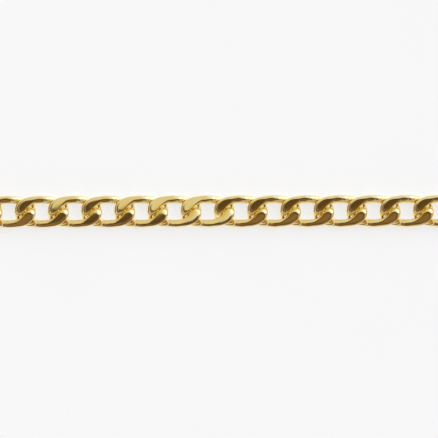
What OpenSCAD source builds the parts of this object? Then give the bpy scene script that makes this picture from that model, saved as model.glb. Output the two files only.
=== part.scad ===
// Open curb chain necklace: a closed loop of oval links that lies flat.
// Z = 0 is the surface that it rests on, and the origin is the middle of the loop.
// The front of the loop runs along X, at negative Y. The clasp is at the back.

/* [Chain] */
// Width of the chain across its links
chain_w = 5.94; // [5:0.02:7]
// Thickness of the pressed chain
chain_t = 1.9; // [1.8:0.1:2.2]
// Number of links
link_count = 72; // [60:2:90]

/* [Lay] */
// Radius of the bend at each end of the loop, to the middle of the chain
bend_r = 42; // [40:1:55]

/* [Clasp] */
// Length of the clasp's box
clasp_len = 10; // [8:0.5:14]

/* [Hidden] */
// The oval of one link, as shares of the chain's width
half_l = 0.670 * chain_w;
half_w = 0.382 * chain_w;
oval = 2.2;
pitch = 1.017 * chain_w;

// The wire's half width outside and inside the oval, and the same at the link's ends
wire_out = 0.118 * chain_w;
wire_in = 0.145 * chain_w;
wire_out_end = 0.170 * chain_w;
wire_in_end = 0.1515 * chain_w;

// Rise and fall of the wire, whose high and low stretches come a little after the
// corners of the oval, and its half thickness, before the link is pressed
press = chain_t / 2;
rise = press;
rise_second = 0.45;
rise_lag = 3;
wire_up = 0.88 * press;
wire_up_end = 0.76 * press;
press_power = 10;
crown = 0.08;

// How far the wire is thinned on the side that faces the middle plane, where the
// neighbouring link passes it
relief = 0.55;
relief_power = 0.5;

// Facets of a link: points round the oval, and sides of the wire
link_steps = 16;
wire_sides = 6;
facet_fill = 1.05;

// The closed line that the links follow: two straights and two half circles
clasp_loops = clasp_len - 1;
loop_len = (link_count + 1) * pitch + clasp_loops;
straight = (loop_len - 2 * PI * bend_r) / 2;

// Box of the clasp
clasp_w = 1.01 * chain_w;
clasp_corner = 0.8;
loop_root = 1;
seam_w = 0.3;
seam_depth = 0.25;

gold = [0.90, 0.70, 0.30];

function signed_pow(v, p) = sign(v) * pow(abs(v), p);
function unit(v) = v / norm(v);
function wave(f) = sin(2 * (f - rise_lag)) + rise_second * sin(4 * (f - rise_lag));
wave_top = max([for (f = [0 : 0.5 : 90]) wave(f)]);

// Middle of the wire at angle f round the link
function wire_mid(f) = [
    half_l * signed_pow(cos(f), 2 / oval),
    half_w * signed_pow(sin(f), 2 / oval),
    -rise * wave(f) / wave_top
];

// A point of the unpressed link, squeezed smoothly between two faces
function squeeze(z) = z / pow(1 + pow(abs(z / press), press_power), 1 / press_power);
function pressed(q) = [q.x, q.y, squeeze(q.z) * (1 - crown * pow(2 * q.y / chain_w, 2))];

// The section of the wire at angle f, as a ring of points
function wire_ring(f) =
    let (
        p = wire_mid(f),
        t = unit(wire_mid(f + 0.06) - wire_mid(f - 0.06)),
        outward = unit(cross(t, [0, 0, 1])),
        up = cross(outward, t),
        share = pow(abs(cos(f)), 3),
        w_out = wire_out + (wire_out_end - wire_out) * share,
        w_in = wire_in + (wire_in_end - wire_in) * share,
        h = facet_fill * (wire_up + (wire_up_end - wire_up) * share)
    )
    [for (j = [0 : wire_sides - 1])
        let (
            a = 360 * j / wire_sides,
            w = cos(a) > 0 ? w_out : w_in,
            inward = max(0, -sin(a) * p.z / rise),
            thinned = 1 - relief * pow(inward, relief_power)
        )
        pressed(p + w * cos(a) * outward + h * thinned * sin(a) * up)];

link_points = [for (i = [0 : link_steps - 1]) each wire_ring(360 * i / link_steps)];
link_faces = [for (i = [0 : link_steps - 1], j = [0 : wire_sides - 1])
    let (
        i2 = (i + 1) % link_steps,
        j2 = (j + 1) % wire_sides,
        a = i * wire_sides + j,
        b = i2 * wire_sides + j,
        c = i2 * wire_sides + j2,
        d = i * wire_sides + j2
    )
    each [[c, b, a], [d, c, a]]];

// Place and heading on the closed line, at length s from the middle of the clasp
// and to the left: the back straight, the left bend, the front and the right bend
function lay(s) =
    let (bend = PI * bend_r, h = straight / 2)
    s < h ? [-s, bend_r, 180]
    : s < h + bend ? let (a = (s - h) / bend_r * 180 / PI)
        [-h - bend_r * sin(a), bend_r * cos(a), 180 + a]
    : s < 3 * h + bend ? [s - bend - 2 * h, -bend_r, 360]
    : s < 3 * h + 2 * bend ? let (a = (s - 3 * h - bend) / bend_r * 180 / PI)
        [h + bend_r * sin(a), -bend_r * cos(a), a]
    : [loop_len - s, bend_r, 180];

function link_at(i) = lay(clasp_loops / 2 + i * pitch);

module link() {
    polyhedron(points = link_points, faces = link_faces, convexity = 6);
}

module links(first, last) {
    for (i = [first : last])
        let (p = link_at(i))
            translate([p.x, p.y, press]) rotate([0, 0, p.z]) link();
}

module chain_left() {
    color(gold) links(1, link_count / 2);
}

module chain_right() {
    color(gold) links(link_count / 2 + 1, link_count);
}

// A box with upright rounded corners and a seam across its top
module clasp_box() {
    inner_l = clasp_len - 2 * clasp_corner;
    inner_w = clasp_w - 2 * clasp_corner;
    difference() {
        union() {
            translate([-clasp_len / 2, -inner_w / 2, 0]) cube([clasp_len, inner_w, chain_t]);
            translate([-inner_l / 2, -clasp_w / 2, 0]) cube([inner_l, clasp_w, chain_t]);
            for (x = [-1, 1], y = [-1, 1])
                translate([x * inner_l / 2, y * inner_w / 2, 0])
                    cylinder(h = chain_t, r = clasp_corner, $fn = 48);
        }
        translate([clasp_len / 5, -clasp_w, chain_t - seam_depth])
            cube([seam_w, 2 * clasp_w, chain_t]);
    }
}

// The outer half of a link, whose ends are sunk in the box
module clasp_loop() {
    intersection() {
        translate([clasp_loops / 2, 0, press]) link();
        translate([clasp_loops / 2 - loop_root, -chain_w, 0]) cube([chain_w, 2 * chain_w, chain_t]);
    }
}

module clasp() {
    color(gold) translate([0, bend_r, 0]) {
        clasp_box();
        clasp_loop();
        rotate([0, 0, 180]) clasp_loop();
    }
}

chain_left();
chain_right();
clasp();
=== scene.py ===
import math

import bpy
import numpy as np
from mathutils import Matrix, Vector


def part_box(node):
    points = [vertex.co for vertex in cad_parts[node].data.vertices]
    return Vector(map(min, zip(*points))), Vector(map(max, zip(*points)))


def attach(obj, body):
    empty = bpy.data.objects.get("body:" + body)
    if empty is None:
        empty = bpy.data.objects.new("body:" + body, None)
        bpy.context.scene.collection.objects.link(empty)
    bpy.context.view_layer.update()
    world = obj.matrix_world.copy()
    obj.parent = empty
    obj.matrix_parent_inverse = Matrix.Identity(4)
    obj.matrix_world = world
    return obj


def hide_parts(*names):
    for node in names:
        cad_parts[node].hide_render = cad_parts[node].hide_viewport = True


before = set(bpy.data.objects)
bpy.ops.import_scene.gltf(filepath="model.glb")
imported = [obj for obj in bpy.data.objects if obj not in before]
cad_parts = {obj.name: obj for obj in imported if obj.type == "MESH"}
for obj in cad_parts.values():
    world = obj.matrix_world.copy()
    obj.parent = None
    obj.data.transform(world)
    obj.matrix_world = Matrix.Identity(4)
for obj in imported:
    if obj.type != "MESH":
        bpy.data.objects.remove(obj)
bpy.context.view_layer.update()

# The view: the photo looks straight down on the chain, which crosses the picture a
# little above its middle and climbs slightly to the right. The whole picture is about
# 80 mm wide, so the bends and the clasp of the necklace lie outside it.
mm = 0.001
clasp_low, clasp_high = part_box("clasp")
front_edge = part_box("chain_left")[0][1]
thickness = clasp_high[2] - clasp_low[2]
bend_radius = (clasp_low[1] + clasp_high[1]) / 2
chain_width = 2 * (-front_edge - bend_radius)
pitch = 1.017 * chain_width

photo_side = 438
pitch_in_photo = 33.16
chain_above_middle = 7.45
link_left_of_middle = 11.4
climb = math.radians(0.144)
metres_per_pixel = pitch / pitch_in_photo
camera_height = 490 * mm
sensor = 36
nearest_seen = 10 * mm
furthest_seen = 5

camera_data = bpy.data.cameras.new("photo_camera")
camera = bpy.data.objects.new("photo_camera", camera_data)
bpy.context.scene.collection.objects.link(camera)
camera_data.sensor_width = sensor
camera_data.lens = sensor * (camera_height - thickness / 2) / (photo_side * metres_per_pixel)
camera_data.clip_start = nearest_seen
camera_data.clip_end = furthest_seen
camera.location = (
    link_left_of_middle * metres_per_pixel - pitch / 2,
    -bend_radius - chain_above_middle * metres_per_pixel,
    camera_height,
)
camera.rotation_euler = (0, 0, -climb)
bpy.context.scene.camera = camera
bpy.context.scene.view_settings.view_transform = "Standard"

# The light: a white tent, brightest at the back right, with warm cards along the front
# and low on both sides, and a dark brown opening overhead, through which the camera looks.
# The flat faces of the level links mirror the opening, and the rolled ones what is pale.
tent_white = (0.84, 0.88, 0.96)
horizon_soft = 0.05

# Each card: its left, right, front and back edge in the direction's x and y, half the
# width of its soft edge, and its colour. A later card covers an earlier one.
tent_cards = {
    "back left": (-0.70, 0.05, 0.02, 1.10, 0.08, (0.74, 0.66, 0.43)),
    "left": (-1.20, -0.70, -0.24, 0.62, 0.06, (0.40, 0.23, 0.08)),
    "front left": (-1.20, -0.77, -0.56, -0.08, 0.05, (0.31, 0.20, 0.10)),
    "front": (-0.66, 0.02, -0.85, -0.10, 0.08, (0.30, 0.245, 0.17)),
    "front right": (-0.02, 0.60, -0.92, -0.10, 0.08, (0.50, 0.42, 0.30)),
    "back right": (0.40, 1.20, 0.20, 0.85, 0.10, (1.45, 1.50, 1.60)),
    "right": (0.50, 1.20, -0.55, 0.14, 0.08, (0.57, 0.38, 0.16)),
    "olive": (-0.02, 0.48, -0.50, -0.05, 0.06, (0.60, 0.47, 0.26)),
    "brown middle": (-0.26, 0.20, -0.14, 0.00, 0.02, (0.245, 0.138, 0.054)),
    "brown front": (-0.30, 0.06, -0.90, -0.10, 0.06, (0.250, 0.138, 0.052)),
    "brown left": (-0.50, -0.15, -0.05, 0.24, 0.06, (0.235, 0.135, 0.052)),
    "dark left": (-0.58, -0.28, -0.42, 0.10, 0.07, (0.127, 0.090, 0.025)),
    "dark front": (-0.03, 0.11, -0.26, -0.06, 0.02, (0.125, 0.080, 0.026)),
    "dark middle": (-0.13, 0.50, -0.010, 0.102, 0.012, (0.102, 0.060, 0.021)),
    "dark right": (0.17, 0.50, -0.32, 0.05, 0.03, (0.125, 0.077, 0.028)),
}


def make(tree, kind, settings=None, sockets=None):
    """Adds one node, applies its settings first, then fills or links its sockets."""
    node = tree.nodes.new(kind)
    for name, value in (settings or {}).items():
        setattr(node, name, value)
    for name, value in (sockets or {}).items():
        socket = node.inputs[name]
        if isinstance(value, Value):
            tree.links.new(value.socket, socket)
        elif isinstance(value, bpy.types.NodeSocket):
            tree.links.new(value, socket)
        elif socket.type == "RGBA":
            socket.default_value = (*value, 1)
        else:
            socket.default_value = value
    return node


class Value:
    """A number in a node tree. Sums and products of values add Math nodes."""

    def __init__(self, tree, socket):
        self.tree = tree
        self.socket = socket

    def math(self, operation, first, second=None):
        sockets = {0: first}
        if second is not None:
            sockets[1] = second
        node = make(self.tree, "ShaderNodeMath", {"operation": operation}, sockets)
        return Value(self.tree, node.outputs[0])

    def __add__(self, other):
        return self.math("ADD", self, other)

    def __radd__(self, other):
        return self.math("ADD", other, self)

    def __sub__(self, other):
        return self.math("SUBTRACT", self, other)

    def __rsub__(self, other):
        return self.math("SUBTRACT", other, self)

    def __mul__(self, other):
        return self.math("MULTIPLY", self, other)

    def __rmul__(self, other):
        return self.math("MULTIPLY", other, self)

    def __abs__(self):
        return self.math("ABSOLUTE", self)

    def ramp(self, low, high):
        """Rises smoothly from 0 at low to 1 at high."""
        node = make(
            self.tree,
            "ShaderNodeMapRange",
            {"interpolation_type": "SMOOTHSTEP"},
            {"Value": self, "From Min": low, "From Max": high},
        )
        return Value(self.tree, node.outputs["Result"])


def blend_colours(tree, factor, first, second):
    """The first colour where the factor is 0, the second where it is 1."""
    node = make(
        tree,
        "ShaderNodeMix",
        {"data_type": "RGBA"},
        {0: factor, 6: first, 7: second},
    )
    return node.outputs[2]


world = bpy.data.worlds.new("light_tent")
bpy.context.scene.world = world
world.use_nodes = True
sky = world.node_tree
sky.nodes.clear()
towards = make(sky, "ShaderNodeTexCoord")
parts = make(sky, "ShaderNodeSeparateXYZ", sockets={0: towards.outputs["Generated"]})
along, across, upward = (Value(sky, socket) for socket in parts.outputs)


def card(left, right, front, back, soft):
    """1 where the x and y of an upward direction lie in the oblong, and 0 outside it, with
    soft edges: the product of a smooth rise at each edge and one at the horizon."""
    inside_x = ((right - left) / 2 - abs(along - (left + right) / 2)).ramp(-soft, soft)
    inside_y = ((back - front) / 2 - abs(across - (front + back) / 2)).ramp(-soft, soft)
    return inside_x * inside_y * upward.ramp(0.0, horizon_soft)


tent = tent_white
for left, right, front, back, soft, colour in tent_cards.values():
    tent = blend_colours(sky, card(left, right, front, back, soft), tent, colour)
backdrop = make(sky, "ShaderNodeBackground", sockets={"Color": tent})
make(sky, "ShaderNodeOutputWorld", sockets={"Surface": backdrop.outputs[0]})

# The surface: a plain white sheet under the necklace, matt and lit from below like a
# light table, with a faint unevenness of tone. It is the setting and no part of the
# necklace.
surface_size = 12.0
surface_drop = 0.01 * mm
surface_white = (0.58, 0.58, 0.585)
surface_shade = (0.55, 0.55, 0.555)
surface_glow = (0.876, 0.924, 1.0)
surface_glow_strength = 0.684
surface_roughness = 0.7
surface_specular = 0.2


def noise(tree, place, scale, detail):
    """Soft noise between 0 and 1, whose scale is in lumps to the metre."""
    sockets = {"Vector": place, "Scale": scale, "Detail": detail}
    return Value(tree, make(tree, "ShaderNodeTexNoise", sockets=sockets).outputs[0])


corners = np.array([(-1, -1, 0), (1, -1, 0), (1, 1, 0), (-1, 1, 0)], float)
corners *= (surface_size / 2, surface_size / 2, 0)
corners[:, 2] = -surface_drop
surface_mesh = bpy.data.meshes.new("surface")
surface_mesh.from_pydata(corners.tolist(), [], [(0, 1, 2, 3)])
surface = bpy.data.objects.new("surface", surface_mesh)
bpy.context.scene.collection.objects.link(surface)

paper = bpy.data.materials.new("white_card")
paper.use_nodes = True
tree = paper.node_tree
place = make(tree, "ShaderNodeTexCoord").outputs["Object"]
cloud = noise(tree, place, scale=40.0, detail=3.0)
tone = blend_colours(tree, cloud, surface_white, surface_shade)
finish = tree.nodes["Principled BSDF"]
finish.inputs["Roughness"].default_value = surface_roughness
finish.inputs["Specular IOR Level"].default_value = surface_specular
finish.inputs["Emission Color"].default_value = (*surface_glow, 1)
finish.inputs["Emission Strength"].default_value = surface_glow_strength
tree.links.new(tone, finish.inputs["Base Color"])
surface_mesh.materials.append(paper)

# The links: ovals of brass wire, soldered shut and twisted, so that each rises and falls
# twice round its length and hangs flat in its neighbours. They are pressed between two
# faces, which leaves a flat at the upper left and lower right, then polished and plated.
link_count = 72
clasp_length = 10 * mm
loop_sunk = 0.5 * mm
loops_apart = clasp_length - 2 * loop_sunk
half_long = 0.670 * chain_width
half_wide = 0.382 * chain_width
oval = 2.2

# Half widths of the wire outside and inside the oval, the same at the link's ends, and
# how much further the low stretches reach inwards there
wire_outside = 0.126 * chain_width
wire_inside = 0.145 * chain_width
wire_outside_end = 0.170 * chain_width
wire_inside_end = 0.159 * chain_width
inner_bulge = 0.08 * chain_width
end_power = 3
bulge_power = 3

# The wire's rise and fall, and its half thickness before the press, which is thinned
# where a neighbour passes and filled out where the press makes it flat
press = thickness / 2
rise = press
second_wave = 0.45
wave_lag = math.radians(3)
wire_upright = 0.88 * press
wire_upright_end = 0.76 * press
relief = 0.55
relief_power = 0.5
fill_height = 0.5 * press
side_power = 10
side_fade = 4
facing_power = 0.3

# How sharply the press turns a face into a flat: everywhere, on the outer rim towards
# the ends and on the inner lip along the sides, and how these two fade
press_power = 12
rim_power = 1.2
rim_fade = 1.3
lip_power = 4.5
lip_fade = 4
shoulder_fade = 0.5
crown = 0.04

# Where the flats and the recesses begin, and over how much they become complete
flat_from = 0.9 * press
flat_over = 0.4 * press
recess_from = 0.15
recess_over = 0.5

link_steps = 96
wire_steps = 40
wave_steps = 400
angle_step = 0.001
links_to_a_piece = 18

# How the links lie, in degrees: some are rolled by as much as this, the others by a
# little, and all are turned by a little
lifted_rolls = {31: -1.1, 32: -2.45, 33: -1.4, 34: -2.8, 35: -4.1, 36: -4.2}
loose_roll = 0.12
loose_turn = 0.25
loose_seed = 5


def signed_power(value, power):
    """The value's size to the power, with the value's own sign."""
    return np.sign(value) * np.abs(value) ** power


def wire_middle(angle):
    """An oval of the power 2.2, whose height is minus a sine of twice the angle and
    0.45 of a sine of four times the angle, both 3 degrees late, scaled to reach the rise."""
    quarter = np.linspace(0, math.pi / 2, wave_steps)
    top = np.max(np.sin(2 * quarter) + second_wave * np.sin(4 * quarter))
    late = angle - wave_lag
    wave = np.sin(2 * late) + second_wave * np.sin(4 * late)
    return np.stack(
        [
            half_long * signed_power(np.cos(angle), 2 / oval),
            half_wide * signed_power(np.sin(angle), 2 / oval),
            -rise * wave / top,
        ],
        axis=-1,
    )


def squeeze(height, power):
    """With n for the power: height over the nth root of 1 plus the nth power of height
    over press, so that a high power gives a flat face and a low one a round back."""
    return height / (1 + np.abs(height / press) ** power) ** (1 / power)


def link_surface(angles, sides):
    """The wire's section carried round the oval.

    The section is an ellipse with one half width outside and another inside, which pass
    to those of the ends with the cube of the angle's cosine. There the inside also grows
    by the bulge times the cube of how low the wire is.

    The side that faces the middle plane is thinned by 0.55 of the square root of how
    squarely it faces it times how far the wire is from it. Away from the ends, the side
    wires and the faces turned away from the middle plane are thickened by the fill.

    Then z is squeezed between two faces: to a flat, softly on the inner lip along the
    sides, and to a round back on the outer rim towards the ends. A slight crown lowers it
    with the square of y.

    Returns the points, how flat the press left each, and how far each lies in the recess
    inside the link's ends, which the cosine round the wire gives."""
    middle = wire_middle(angles)
    ahead = wire_middle(angles + angle_step) - wire_middle(angles - angle_step)
    ahead /= np.linalg.norm(ahead, axis=1, keepdims=True)
    outward = np.cross(ahead, (0, 0, 1))
    outward /= np.linalg.norm(outward, axis=1, keepdims=True)
    up = np.cross(outward, ahead)
    along_link = np.abs(np.cos(angles))[:, None]
    across_link = np.abs(np.sin(angles))[:, None]
    round_wire = np.linspace(0, 2 * math.pi, sides, endpoint=False)[None]
    outside = np.cos(round_wire)
    turned = np.sin(round_wire) * middle[:, 2:] / rise

    share = along_link**end_power
    bulge = inner_bulge * share * np.clip(-middle[:, 2:] / rise, 0, 1) ** bulge_power
    outer = wire_outside + (wire_outside_end - wire_outside) * share
    inner = wire_inside + (wire_inside_end - wire_inside) * share + bulge
    sideways = np.where(outside > 0, outer, inner) * outside

    upright = wire_upright + (wire_upright_end - wire_upright) * share
    inward = np.clip(-turned, 0, 1)
    facing = np.clip(turned, 0, 1) ** facing_power
    side = across_link**side_power * (1 - inward) ** side_fade
    fill = fill_height * (1 - share) * (side + (1 - side) * facing)
    upwards = (upright * (1 - relief * inward**relief_power) + fill) * np.sin(round_wire)
    points = middle[:, None] + sideways[..., None] * outward[:, None]
    points = points + upwards[..., None] * up[:, None]

    height = points[..., 2].copy()
    rim = along_link**rim_fade * np.clip(outside, 0, 1) ** shoulder_fade
    lip = across_link**lip_fade * np.clip(-outside, 0, 1) ** shoulder_fade
    power = press_power + (rim_power - press_power) * rim + (lip_power - press_power) * lip
    lowered = 1 - crown * (2 * points[..., 1] / chain_width) ** 2
    points[..., 2] = squeeze(height, power) * lowered

    flatness = np.clip((np.abs(height) - flat_from) / flat_over, 0, 1) * (1 - rim)
    recess = share * np.clip((-outside - recess_from) / recess_over, 0, 1)
    return points, flatness, recess


def ring_faces(rows, columns, closed=True):
    """Four sided faces over a grid that closes on itself across and, if closed, along."""
    index = np.arange(rows * columns).reshape(rows, columns)
    beyond = np.roll(index, -1, 0)
    if not closed:
        index, beyond = index[:-1], beyond[:-1]
    faces = [index, beyond, np.roll(beyond, -1, 1), np.roll(index, -1, 1)]
    return np.stack(faces, axis=-1).reshape(-1, 4)


loop_length = (link_count + 1) * pitch + loops_apart
straight = (loop_length - 2 * math.pi * bend_radius) / 2


def lay(along_chain):
    """Place and heading on the loop, measured from the clasp to the left: half the back
    straight, the left half circle, the front straight, the right half circle, and the
    other half of the back straight."""
    bend = math.pi * bend_radius
    half = straight / 2
    if along_chain < half:
        return -along_chain, bend_radius, math.pi
    if along_chain < half + bend:
        turned = (along_chain - half) / bend_radius
        return (
            -half - bend_radius * math.sin(turned),
            bend_radius * math.cos(turned),
            math.pi + turned,
        )
    if along_chain < 3 * half + bend:
        return along_chain - bend - 2 * half, -bend_radius, 0.0
    if along_chain < 3 * half + 2 * bend:
        turned = (along_chain - 3 * half - bend) / bend_radius
        return (
            half + bend_radius * math.sin(turned),
            -bend_radius * math.cos(turned),
            turned,
        )
    return loop_length - along_chain, bend_radius, math.pi


def placed(points, x, y, heading, roll):
    """Rolls the points about their length, turns them to the heading, sets them down on
    the surface and moves them to their place."""
    rolled_y = points[..., 1] * math.cos(roll) - points[..., 2] * math.sin(roll)
    rolled_z = points[..., 1] * math.sin(roll) + points[..., 2] * math.cos(roll)
    return np.stack(
        [
            x + points[..., 0] * math.cos(heading) - rolled_y * math.sin(heading),
            y + points[..., 0] * math.sin(heading) + rolled_y * math.cos(heading),
            rolled_z - rolled_z.min(),
        ],
        axis=-1,
    )


def smooth_piece(name, points, faces):
    """A closed, smooth shaded mesh object made from arrays of points and faces."""
    mesh = bpy.data.meshes.new(name)
    mesh.from_pydata(points, [], faces)
    mesh.polygons.foreach_set("use_smooth", np.ones(len(mesh.polygons), bool))
    mesh.update()
    piece = bpy.data.objects.new(name, mesh)
    bpy.context.scene.collection.objects.link(piece)
    return piece


def set_marks(piece, marks):
    """Keeps one number for each point of the mesh under each name, for the material."""
    for mark_name, values in marks.items():
        mark = piece.data.attributes.new(mark_name, "FLOAT", "POINT")
        mark.data.foreach_set("value", values.astype(np.float32))


def mark_value(tree, mark_name):
    """What set_marks keeps under this name."""
    node = make(tree, "ShaderNodeAttribute", {"attribute_name": mark_name})
    return Value(tree, node.outputs["Fac"])


# The finish: how many clouds, waves and streaks there are to the metre, by how much the
# clouds, the streaks and the recess roughen it, and how high the waves and streaks stand
cloud_scale = 260.0
wave_scale = 900.0
streak_scales = (900.0, 9000.0, 900.0)
cloud_roughness = 0.02
streak_roughness = 0.03
recess_roughness = 0.08
wave_height = 0.7
streak_height = 0.15
dent_strength = 0.12
dent_depth = 0.02 * mm


def polished_gold(name, colour, deep_colour, recess_painted_shade, roughness):
    """Bright yellow gold plate. Broad soft clouds shift its colour and gloss a little, and
    fine streaks on the pressed faces and low waves bend its mirror image slightly. In the
    recesses, which the polishing wheel doesn't reach, it is duller, and it is painted a
    deeper yellow there: painted shade, standing in for the light bounced between the wires."""
    metal = bpy.data.materials.new(name)
    metal.use_nodes = True
    tree = metal.node_tree
    place = make(tree, "ShaderNodeTexCoord").outputs["Object"]
    stretched = {"Vector": place, "Scale": streak_scales}
    drawn_out = make(tree, "ShaderNodeMapping", sockets=stretched)
    cloud = noise(tree, place, cloud_scale, detail=3.0)
    wave = noise(tree, place, wave_scale, detail=2.0)
    streak = noise(tree, drawn_out.outputs[0], scale=1.0, detail=4.0)
    hollow = mark_value(tree, "recess")
    streak_on_flat = streak * mark_value(tree, "pressed")
    finish = tree.nodes["Principled BSDF"]
    finish.inputs["Metallic"].default_value = 1
    tint = blend_colours(tree, cloud.ramp(low=0.3, high=0.7), colour, deep_colour)
    # Painted shade: the recesses are painted a deeper yellow, standing in for the shade and
    # the light bounced between the wires there.
    tint = blend_colours(tree, hollow, tint, recess_painted_shade)
    tree.links.new(tint, finish.inputs["Base Color"])
    rough = roughness + cloud_roughness * cloud + streak_roughness * streak_on_flat
    rough = rough + recess_roughness * hollow
    tree.links.new(rough.socket, finish.inputs["Roughness"])
    dents = make(
        tree,
        "ShaderNodeBump",
        sockets={
            "Height": wave_height * wave + streak_height * streak_on_flat,
            "Strength": dent_strength,
            "Distance": dent_depth,
        },
    )
    tree.links.new(dents.outputs[0], finish.inputs["Normal"])
    return metal


gold_plate = polished_gold(
    "gold_plate",
    colour=(0.98, 0.86, 0.53),
    deep_colour=(0.98, 0.84, 0.48),
    # Painted shade in the recesses: a deeper yellow standing in for the light bounced
    # between the wires
    recess_painted_shade=(0.96, 0.73, 0.11),
    roughness=0.03,
)
chance = np.random.default_rng(loose_seed)
round_link = np.linspace(0, 2 * math.pi, link_steps, endpoint=False)
link_points, link_flatness, link_recess = link_surface(round_link, wire_steps)
link_faces = ring_faces(link_steps, wire_steps)
points_in_link = link_steps * wire_steps

nodes_behind = {
    "links_back_left": "chain_left",
    "links_front_left": "chain_left",
    "links_front_right": "chain_right",
    "links_back_right": "chain_right",
}
for number, (piece_name, node) in enumerate(nodes_behind.items()):
    made, faces = [], []
    for count in range(links_to_a_piece):
        which = number * links_to_a_piece + count + 1
        x, y, heading = lay(loops_apart / 2 + which * pitch)
        degrees = loose_roll * chance.uniform(-1, 1)
        turn = math.radians(loose_turn * chance.uniform(-1, 1))
        roll = math.radians(lifted_rolls.get(which, degrees))
        made.append(placed(link_points, x, y, heading + turn, roll).reshape(-1, 3))
        faces.append(link_faces + count * points_in_link)
    piece = smooth_piece(piece_name, np.concatenate(made), np.concatenate(faces))
    set_marks(
        piece,
        {
            "pressed": np.tile(link_flatness.reshape(-1), links_to_a_piece),
            "recess": np.tile(link_recess.reshape(-1), links_to_a_piece),
        },
    )
    piece.data.materials.append(gold_plate)
    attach(piece, "root")
    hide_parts(node)

# The clasp: a plain flat box clasp of pressed brass sheet, plated like the chain but less
# glossy. It closes the back of the loop, and a narrow seam across it shows where its
# tongue goes in. Half a link is soldered to each end.
half_y = (clasp_high[1] - clasp_low[1]) / 2
corner = 0.8 * mm
edge_round = 0.22 * mm
seam_from = 2.0 * mm
seam_width = 0.3 * mm
seam_depth = 0.25 * mm
tongue_inset = 0.02 * mm
tongue_edge = 0.05 * mm
corner_steps = 9
edge_steps = 7
face_shrinks = (0.97, 0.6, 0.25)
loop_reach = 100
loop_steps = 61


def rounded_box(low_x, high_x, half_y, top, corner_radius, edge):
    """A rounded oblong outline carried up a profile: a quarter circle at the lower edge,
    a straight wall and a quarter circle at the upper edge. The last ring on each side
    shrinks to one point in the middle of the face."""
    quarter = np.linspace(0, math.pi / 2, corner_steps)
    turn = np.concatenate([quarter + step * math.pi / 2 for step in range(4)])
    reach_x = (high_x - low_x) / 2 - corner_radius
    reach_y = half_y - corner_radius
    sign_x = np.repeat((1, -1, -1, 1), corner_steps)
    sign_y = np.repeat((1, 1, -1, -1), corner_steps)
    outline = np.stack([sign_x * reach_x, sign_y * reach_y], -1)
    normal = np.stack([np.cos(turn), np.sin(turn)], -1)
    bend = np.linspace(0, math.pi / 2, edge_steps)
    rising = edge * (1 - np.cos(bend))
    leaning = edge * (1 - np.sin(bend))
    inset = np.concatenate([leaning, rising])
    height = np.concatenate([rising, top - leaning])
    shrink = np.array(face_shrinks)
    rings = outline[None] + normal[None] * (corner_radius - inset)[:, None, None]
    low_cap = rings[0][None] * shrink[::-1, None, None]
    high_cap = rings[-1][None] * shrink[:, None, None]
    rings = np.concatenate([low_cap, rings, high_cap])
    levels = np.concatenate([np.zeros(len(shrink)), height, np.full(len(shrink), top)])
    levels = np.broadcast_to(levels[:, None, None], (*rings.shape[:2], 1))
    points = np.concatenate([rings, levels], -1)
    centre = (low_x + high_x) / 2
    points[..., 0] += centre
    rows, columns = points.shape[:2]
    shell = np.concatenate([points.reshape(-1, 3), [(centre, 0, 0), (centre, 0, top)]])
    around = np.arange(columns)
    after = np.roll(around, -1)
    last = (rows - 1) * columns
    below = np.full(columns, rows * columns)
    quads = ring_faces(rows, columns, closed=False)[:, ::-1].tolist()
    quads += np.stack([around, below, after], -1).tolist()
    quads += np.stack([last + around, last + after, below + 1], -1).tolist()
    return shell, quads


def joined(shells):
    """Several closed shells, each of points and faces, as one list of each."""
    points, faces, before = [], [], 0
    for shell_points, shell_faces in shells:
        points.append(shell_points)
        faces += [[corner_point + before for corner_point in face] for face in shell_faces]
        before += len(shell_points)
    return np.concatenate(points), faces


def end_loop(side):
    """Half a link and a little more, from 100 degrees before the link's end to 100 past
    it. Where it is cut off, it is closed with a fan and lies inside the box."""
    angles = np.radians(np.linspace(-loop_reach, loop_reach, loop_steps))
    if side < 0:
        angles = angles + math.pi
    points, flatness, recess = link_surface(angles, wire_steps)
    faces = ring_faces(loop_steps, wire_steps, closed=False).tolist()
    middle = wire_middle(angles[[0, -1]])
    middle[:, 2] = squeeze(middle[:, 2], press_power)
    around = np.arange(wire_steps)
    after = np.roll(around, -1)
    last = (loop_steps - 1) * wire_steps
    first_hub = np.full(wire_steps, loop_steps * wire_steps)
    faces += np.stack([around, after, first_hub], -1).tolist()
    faces += np.stack([last + after, last + around, first_hub + 1], -1).tolist()
    shell = np.concatenate([points.reshape(-1, 3), middle])
    shell = shell + (side * loops_apart / 2, 0, press)
    hubs = (0, 0)
    return (
        (shell, faces),
        np.concatenate([flatness.reshape(-1), hubs]),
        np.concatenate([recess.reshape(-1), hubs]),
    )


clasp_gold = polished_gold(
    "clasp_gold",
    colour=(0.98, 0.85, 0.50),
    deep_colour=(0.98, 0.83, 0.45),
    # Painted shade in the recesses: a deeper yellow standing in for the light bounced
    # between the wires
    recess_painted_shade=(0.96, 0.73, 0.11),
    roughness=0.26,
)
seam_to = seam_from + seam_width
left_box = rounded_box(-clasp_length / 2, seam_from, half_y, thickness, corner, edge_round)
right_box = rounded_box(seam_to, clasp_length / 2, half_y, thickness, corner, edge_round)
tongue = rounded_box(
    seam_from - seam_width,
    seam_to + seam_width,
    half_y - tongue_inset,
    thickness - seam_depth,
    edge_round,
    tongue_edge,
)
left_loop, left_flatness, left_recess = end_loop(-1)
right_loop, right_flatness, right_recess = end_loop(1)
unmarked = np.zeros(len(left_box[0]) + len(right_box[0]) + len(tongue[0]))
clasp_points, clasp_faces = joined([left_box, right_box, tongue, left_loop, right_loop])
clasp_points = clasp_points + (0, bend_radius, 0)
clasp_piece = smooth_piece("box_clasp", clasp_points, clasp_faces)
set_marks(
    clasp_piece,
    {
        "pressed": np.concatenate([unmarked, left_flatness, right_flatness]),
        "recess": np.concatenate([unmarked, left_recess, right_recess]),
    },
)
clasp_piece.data.materials.append(clasp_gold)
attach(clasp_piece, "root")
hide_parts("clasp")
